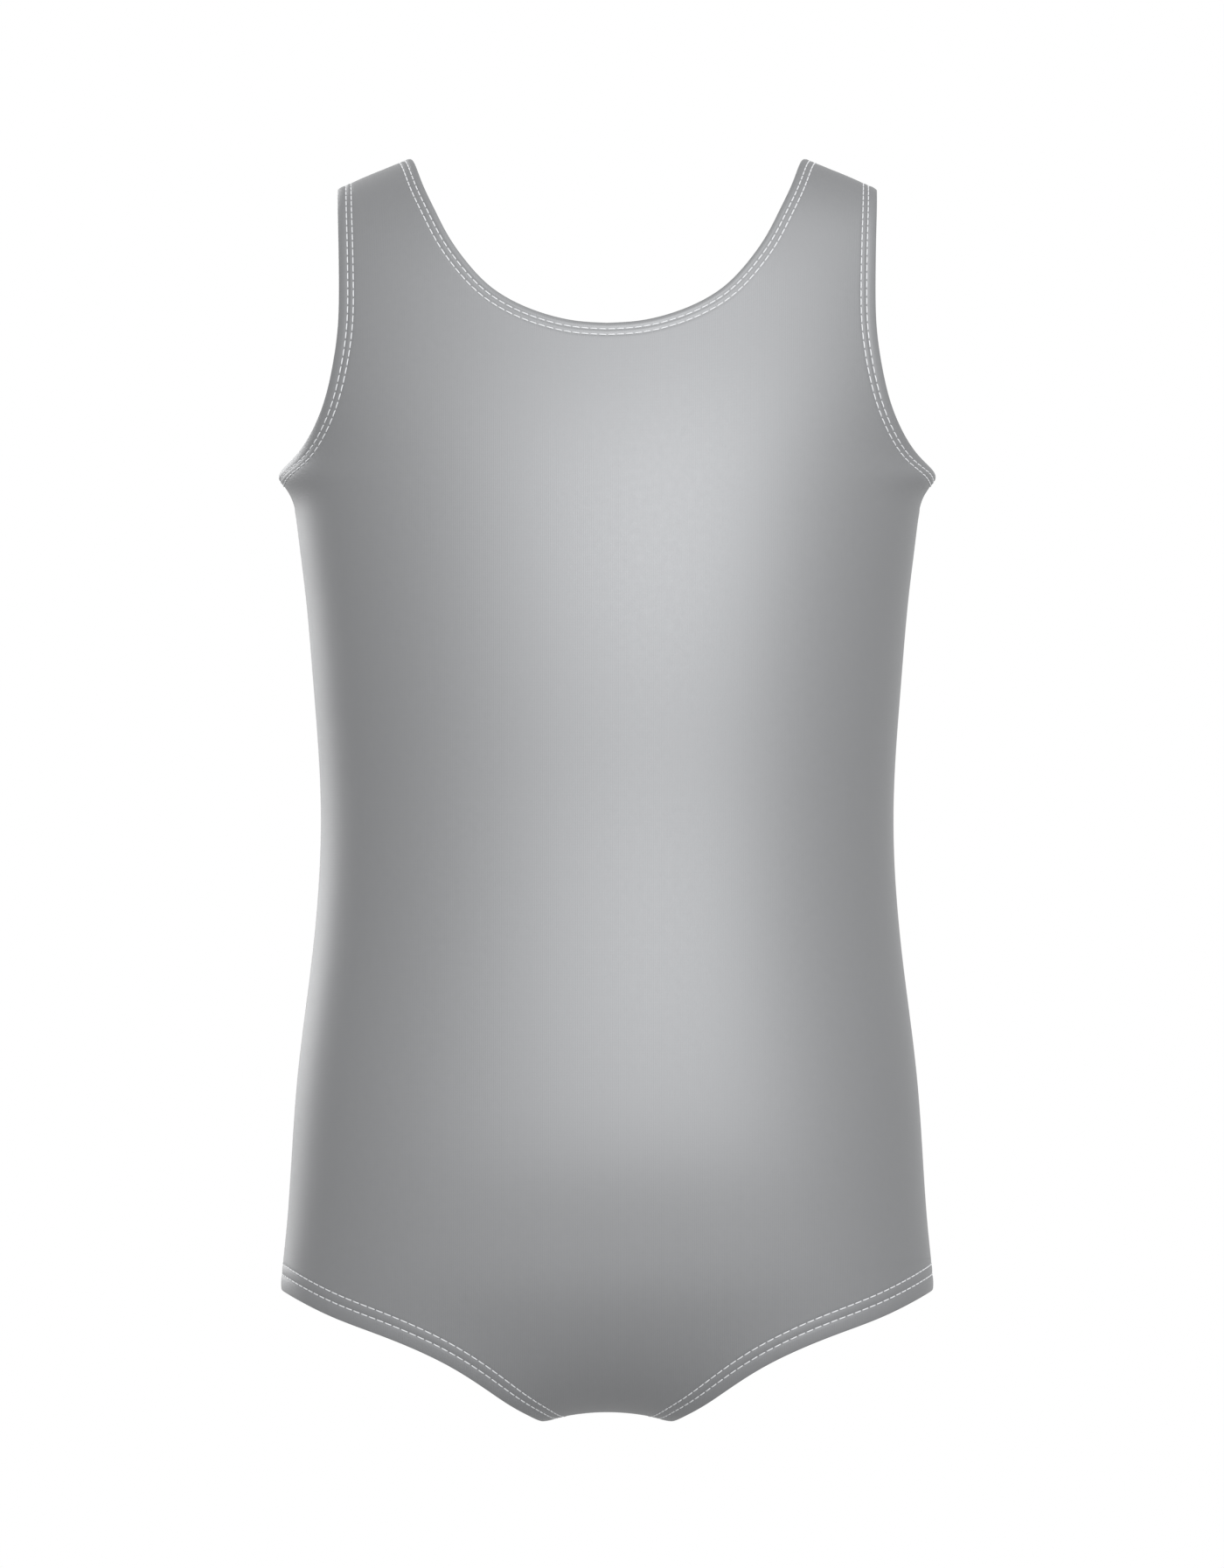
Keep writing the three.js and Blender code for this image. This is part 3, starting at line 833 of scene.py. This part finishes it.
class Paint:
    """One material and the nodes that make it."""

    def __init__(self, name):
        self.material = bpy.data.materials.new(name)
        self.material.use_nodes = True
        self.tree = self.material.node_tree
        self.shader = self.tree.nodes["Principled BSDF"]

    def put(self, socket, value):
        """Sets a socket to a value or joins it to another."""
        if isinstance(value, Number):
            value = value.socket
        if isinstance(value, bpy.types.NodeSocket):
            self.tree.links.new(value, socket)
        else:
            socket.default_value = value

    def node(self, kind, settings=None, values=()):
        """A node, its settings first and then its inputs, by order or by name."""
        node = self.tree.nodes.new(kind)
        for setting, value in (settings or {}).items():
            setattr(node, setting, value)
        pairs = values.items() if isinstance(values, dict) else enumerate(values)
        for key, value in pairs:
            self.put(node.inputs[key], value)
        return node

    def surface(self, **values):
        """Sets the surface's own inputs."""
        for title, value in values.items():
            self.put(self.shader.inputs[title.replace("_", " ")], value)

    def position(self, layer):
        """The two numbers of a named layer of positions in the cloth."""
        where = self.node("ShaderNodeUVMap", {"uv_map": layer}).outputs[0]
        parts = self.node("ShaderNodeSeparateXYZ", None, [where])
        return where, Number(self, parts.outputs[0]), Number(self, parts.outputs[1])

    def noise(self, where, scale, detail):
        """A soft random number about a half."""
        values = {"Vector": where, "Scale": scale, "Detail": detail}
        return Number(self, self.node("ShaderNodeTexNoise", None, values).outputs[0])

    def blend(self, share, low, high):
        """A colour between two others."""
        mix = self.node("ShaderNodeMix", {"data_type": "RGBA"})
        self.put(mix.inputs[0], share)
        self.put(mix.inputs[6], low)
        self.put(mix.inputs[7], high)
        return mix.outputs[2]

    def bump(self, height, distance):
        """A normal from a height that runs from 0 to 1 over a distance in metres."""
        values = {"Height": height, "Distance": distance, "Strength": 1.0}
        return self.node("ShaderNodeBump", None, values).outputs[0]


# The knit's columns and rows of loops, and how each loop leans.
WALE = 0.62
COURSE = 0.5
LEAN = 2.2
LOOP_SHARE = 0.7

# Each noise: how often it changes, its detail, and its share of the tone.
TONES = ((0.35, 3.0, 0.7), (2.6, 2.0, 0.3))

# The crease along a seam: half width, how dark its painted shade is, and how strongly that painted
# shade shows.
GROOVE = 0.45
GROOVE_SHADE_DARKNESS = 0.55
GROOVE_SHADE_STRENGTH = 0.75

YARN_HEIGHT = 0.06
BUMP = 0.0004
ROUGH_SPREAD = 0.1


def knit_paint(name, low, high, metallic, roughness):
    """Fine stretch knit: rows of tiny loops, and a slight change of tone along them."""
    paint = Paint(name)
    where, across, down = paint.position("knit")
    _, seam, _ = paint.position("seam")
    loop = (across * (math.pi / WALE)).sine().absolute()
    leg = (down * (2 * math.pi / COURSE) + loop * LEAN).sine() * 0.5 + 0.5
    yarn = loop * LOOP_SHARE + leg * (1 - LOOP_SHARE)
    wide, fine = (paint.noise(where, often, detail) * part for often, detail, part in TONES)
    tone = wide + fine
    groove = (0 - (seam / GROOVE) * (seam / GROOVE)).exponent()
    colour = paint.blend(tone, low, high)
    # Painted shade: the colour darkens along each seam's crease.
    painted_seam_shade = tuple(GROOVE_SHADE_DARKNESS * part for part in low[:3]) + (1.0,)
    colour = paint.blend(groove * GROOVE_SHADE_STRENGTH, colour, painted_seam_shade)
    paint.surface(
        Base_Color=colour,
        Metallic=metallic,
        Roughness=tone * ROUGH_SPREAD + (roughness - ROUGH_SPREAD / 2),
        Normal=paint.bump(yarn * YARN_HEIGHT - groove, BUMP),
    )
    paint.surface(Sheen_Weight=0.04, Sheen_Roughness=0.4, Specular_IOR_Level=0.3)
    return paint.material


def thread_paint(name, colour):
    """Spun polyester sewing thread."""
    paint = Paint(name)
    paint.surface(Base_Color=colour, Roughness=0.5, Sheen_Weight=0.2)
    return paint.material


KNIT_LOW = (0.166, 0.169, 0.173, 1.0)
KNIT_HIGH = (0.184, 0.187, 0.192, 1.0)
THREAD_COLOUR = (0.37, 0.375, 0.385, 1.0)
knit = knit_paint("grey_knit", KNIT_LOW, KNIT_HIGH, metallic=0.55, roughness=0.56)
thread = thread_paint("pale_thread", THREAD_COLOUR)


# Sewing

# Stitches: length with the gap, the gap, and the thread's radius in the middle.
STITCH = 3.5
STITCH_GAP = 0.35
THREAD = 0.27

# A stitch's ends are thinner and sunk, its middle rises, and it is a little flat. The higher the
# power, the longer its level middle.
THREAD_END = 0.45
THREAD_SUNK = 0.12
THREAD_RISE = 0.26
THREAD_FLAT = 0.8
THREAD_ARCH = 4
STITCH_ALONG = 8
STITCH_AROUND = 8

# How far ahead a point is taken to find which way a row runs.
AHEAD = 0.05


def closed_row(edge, distance, lift):
    """Points and normals right round an opening, at a distance from its edge."""
    places = edge.inset([distance])[0]
    out = outward(*places.T)
    points = form(*places.T) + out * lift
    if not edge.whole:
        points = np.concatenate([points, points[-2:0:-1] * FLIP])
        out = np.concatenate([out, out[-2:0:-1] * FLIP])
    return points, out


class Row:
    """A closed row over the cloth that gives points by length."""

    def __init__(self, points, out):
        self.points = np.concatenate([points, points[:1]])
        self.out = np.concatenate([out, out[:1]])
        gaps = np.linalg.norm(np.diff(self.points, axis=0), axis=1)
        self.lengths = np.concatenate([[0], np.cumsum(gaps)])
        self.total = self.lengths[-1]

    def at(self, length):
        """Points and unit normals at these lengths."""
        length = np.mod(length, self.total)
        spots = [np.interp(length, self.lengths, self.points[:, axis]) for axis in range(3)]
        out = [np.interp(length, self.lengths, self.out[:, axis]) for axis in range(3)]
        return np.stack(spots, axis=-1), unit(np.stack(out, axis=-1))


def tube_faces(tubes, along, around):
    """Faces of many short tubes with closed ends. around is an even number."""
    index = np.arange(along * around).reshape(along, around)
    beside = np.roll(index, -1, axis=1)
    sides = np.stack([index[:-1], beside[:-1], beside[1:], index[1:]], axis=-1).reshape(-1, 4)
    half = around // 2
    ends = [
        np.stack([near[:-1], near[1:], far[:-1][::-1], far[1:][::-1]], axis=-1)
        for near, far in ((ring[:half], ring[half:]) for ring in (index[0], index[-1]))
    ]
    one = np.concatenate([sides, *ends])
    first = np.arange(tubes) * along * around
    return (one[None] + first[:, None, None]).reshape(-1, 4)


def stitch_row(edge, distance):
    """One row of stitches as points and faces, each stitch a short thread that dips at its ends."""
    base = relief(np.array([distance]), edge.hem)[0]
    row = Row(*closed_row(edge, distance, base))
    count = round(row.total / STITCH)
    pitch = row.total / count
    share = np.linspace(0, 1, STITCH_ALONG)
    starts = np.arange(count)[:, None] * pitch + STITCH_GAP / 2
    length = starts + share[None, :] * (pitch - STITCH_GAP)
    points, out = row.at(length)
    ahead, _ = row.at(length + AHEAD)
    tangent = unit(ahead - points)
    across = unit(np.cross(tangent, out))
    arch = 1 - (2 * share - 1) ** THREAD_ARCH
    centre = points + out * (THREAD_RISE * arch - THREAD_SUNK)[None, :, None]
    width = THREAD * (THREAD_END + (1 - THREAD_END) * np.sqrt(np.maximum(arch, 0)))
    angle = np.linspace(0, 2 * np.pi, STITCH_AROUND, endpoint=False)
    ring = (
        np.cos(angle)[None, None, :, None] * across[:, :, None]
        + THREAD_FLAT * np.sin(angle)[None, None, :, None] * out[:, :, None]
    )
    tube = centre[:, :, None] + ring * width[None, :, None, None]
    return tube.reshape(-1, 3), tube_faces(count, STITCH_ALONG, STITCH_AROUND)


def loop_faces(points, around):
    """Faces of a closed loop of sections with this many points each."""
    index = np.arange(len(points)).reshape(-1, around)
    after = np.roll(index, -1, axis=0)
    faces = np.stack([index, np.roll(index, -1, 1), np.roll(after, -1, 1), after], axis=-1)
    return faces.reshape(-1, 4)


# The thread inside: its radius, how far it clears the fold, how two threads pass each other, the
# points round it, and its sections from one row to the other.
LOOPER = 0.2
LOOPER_GAP = 0.1
LOOPER_PASS = 0.12
LOOPER_AROUND = 5
LOOPER_POINTS = 4


def looper(edge, phase):
    """The thread that runs to and fro between the two rows on the inside."""
    depth = -2 * ROLL - LOOPER_GAP
    near = Row(*closed_row(edge, edge.hem["first"], depth))
    far = Row(*closed_row(edge, edge.hem["second"], depth))
    count = round(near.total / STITCH)
    turns = np.arange(count * 2 * LOOPER_POINTS) / LOOPER_POINTS
    swing = 0.5 - 0.5 * np.cos(np.pi * (turns + phase))
    share = turns / (2 * count)
    low, low_out = near.at(share * near.total)
    high, high_out = far.at(share * far.total)
    out = unit(low_out + (high_out - low_out) * swing[:, None])
    lift = LOOPER_PASS * np.sin(2 * np.pi * (turns + phase) + phase)
    centre = low + (high - low) * swing[:, None] - out * lift[:, None]
    tangent = unit(np.roll(centre, -1, axis=0) - np.roll(centre, 1, axis=0))
    across = unit(np.cross(tangent, out))
    angle = np.linspace(0, 2 * np.pi, LOOPER_AROUND, endpoint=False)
    ring = (
        np.cos(angle)[None, :, None] * across[:, None]
        + np.sin(angle)[None, :, None] * np.cross(across, tangent)[:, None]
    )
    points = (centre[:, None] + LOOPER * ring).reshape(-1, 3)
    return points, loop_faces(points, LOOPER_AROUND)


def sewing(edge):
    """All threads of one hem as points and faces."""
    parts = [
        stitch_row(edge, edge.hem["first"]),
        stitch_row(edge, edge.hem["second"]),
        looper(edge, 0.0),
        looper(edge, 1.0),
    ]
    points = []
    faces = []
    count = 0
    for some, corners in parts:
        points.append(some)
        faces.append(corners + count)
        count += len(some)
    return np.concatenate(points), np.concatenate(faces)


# The fold's gap under the cloth, its columns, and the points round its raw edge.
FOLD_GAP = 0.06
FOLD_COLUMNS = 8
FOLD_END = 5


def fold(edge):
    """The turned-in cloth of one hem: a flat strip just inside, with a rounded raw edge."""
    wide = edge.hem["wide"]
    half = (2 * ROLL - KNIT - FOLD_GAP) / 2
    flat_at = np.linspace(ROLL, wide - half, FOLD_COLUMNS)
    rows = edge.inset(flat_at)
    skins = [form(*row.T) for row in rows]
    outs = [outward(*row.T) for row in rows]
    top = [skin - out * (KNIT + FOLD_GAP) for skin, out in zip(skins, outs)]
    low = [skin - out * 2 * ROLL for skin, out in zip(skins, outs)]
    on = unit(skins[-1] - skins[-2])
    middle = (top[-1] + low[-1]) / 2
    end = []
    for turn in np.linspace(0, np.pi, FOLD_END + 2)[1:-1]:
        end.append(middle + half * (np.cos(turn) * outs[-1] + np.sin(turn) * on))
    section = np.stack([*top, *end, *low[::-1]], axis=1)
    if not edge.whole:
        section = np.concatenate([section, section[-2:0:-1] * FLIP])
    points = section.reshape(-1, 3)
    gaps = np.linalg.norm(np.diff(section[:, 0], axis=0, append=section[:1, 0]), axis=1)
    lengths = np.cumsum(gaps)
    down = np.concatenate([flat_at, np.full(FOLD_END, wide), flat_at[::-1]])
    cloth = np.stack(np.broadcast_arrays(lengths[:, None], down[None, :]), axis=-1)
    return points, loop_faces(points, section.shape[1]), cloth.reshape(-1, 2)


def finish_piece(thing, paint, replaced=()):
    """Gives a piece its material and body, and hides the solids that it stands for."""
    thing.data.materials.append(paint)
    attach(thing, "root")
    if replaced:
        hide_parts(*replaced)
    return thing


finish_piece(front_cloth, knit, ["front"])
finish_piece(back_cloth, knit, ["back"])

# Right as seen from the front, where x is above 0, as the nodes of the part are named.
SIDES = {"right": 1, "left": -1}


def hem_pieces(kind, edge):
    """The fold and the threads of one kind of hem, on each side where there are two."""
    fold_points, fold_faces, fold_cloth = fold(edge)
    thread_points, thread_faces = sewing(edge)
    made = []
    for title, side in (SIDES.items() if edge.whole else [("", 1)]):
        ending = f"_{title}" if title else ""
        turn = np.array((side, 1.0, 1.0)) * MM
        knit_at = fold_cloth[fold_faces]
        far = np.full(fold_faces.shape, FAR)
        strip = mesh_object(f"{kind}_fold{ending}", fold_points * turn, fold_faces, knit_at, far)
        face_out(strip)
        finish_piece(strip, knit, [f"{kind}_hem{ending}"])
        threads = mesh_object(f"{kind}_stitches{ending}", thread_points * turn, thread_faces)
        face_out(threads)
        finish_piece(threads, thread)
        made += [strip, threads]
    return made


hem_parts = {kind: hem_pieces(kind, edge) for kind, edge in EDGES.items()}


# Studio

def area_light(name, place, target, wide, tall, power):
    """A soft light that faces a point."""
    light = bpy.data.lights.new(name, "AREA")
    light.shape = "RECTANGLE"
    light.size = wide
    light.size_y = tall
    light.energy = power
    lamp = bpy.data.objects.new(name, light)
    lamp.location = place
    aim = Vector(target) - Vector(place)
    lamp.rotation_euler = aim.to_track_quat("-Z", "Y").to_euler()
    bpy.context.scene.collection.objects.link(lamp)
    return lamp


# What the lights are aimed at.
BODY = (0, 0, -0.25)
STRAP = (0.1, 0, -0.1)
area_light("key_light", (0.5, -3.2, 0.6), BODY, wide=0.8, tall=2.7, power=153)
area_light("back_light", (-1.9, 2.7, 0.7), BODY, wide=1.0, tall=2.2, power=64)
area_light("top_light", (1.9, -1.4, 2.7), STRAP, wide=0.8, tall=0.8, power=27)

world = bpy.data.worlds.new("studio")
world.use_nodes = True
background = world.node_tree.nodes["Background"]
background.inputs[0].default_value = (1.0, 1.0, 1.0, 1.0)
background.inputs[1].default_value = 1.0
bpy.context.scene.world = world

# The floor is a pale disc well under the garment.
FLOOR_Z = -1.25
FLOOR_RADIUS = 2.8
FLOOR_SIDES = 96
FLOOR_COLOUR = (0.44, 0.44, 0.44, 1.0)
angles = np.linspace(0, 2 * np.pi, FLOOR_SIDES, endpoint=False)
rim = np.stack([np.cos(angles), np.sin(angles), np.zeros(FLOOR_SIDES)], axis=1) * FLOOR_RADIUS
floor = mesh_object("floor", rim + (0, 0, FLOOR_Z), np.arange(FLOOR_SIDES)[None])
floor_paint = Paint("pale_floor")
floor_paint.surface(Base_Color=FLOOR_COLOUR, Roughness=0.9)
floor.data.materials.append(floor_paint.material)

scene = bpy.context.scene
scene.view_settings.view_transform = "Standard"

# The camera faces the front squarely from 5 metres.
SENSOR = 36.0
LENS = 289.9
CAMERA = (0.0019, -5.0, -0.2476)
camera_data = bpy.data.cameras.new("camera")
camera_data.sensor_fit = "VERTICAL"
camera_data.sensor_height = SENSOR
camera_data.lens = LENS
camera_data.clip_end = 100.0
camera = bpy.data.objects.new("camera", camera_data)
camera.location = CAMERA
camera.rotation_euler = (math.pi / 2, 0, 0)
scene.collection.objects.link(camera)
scene.camera = camera

bpy.context.view_layer.update()
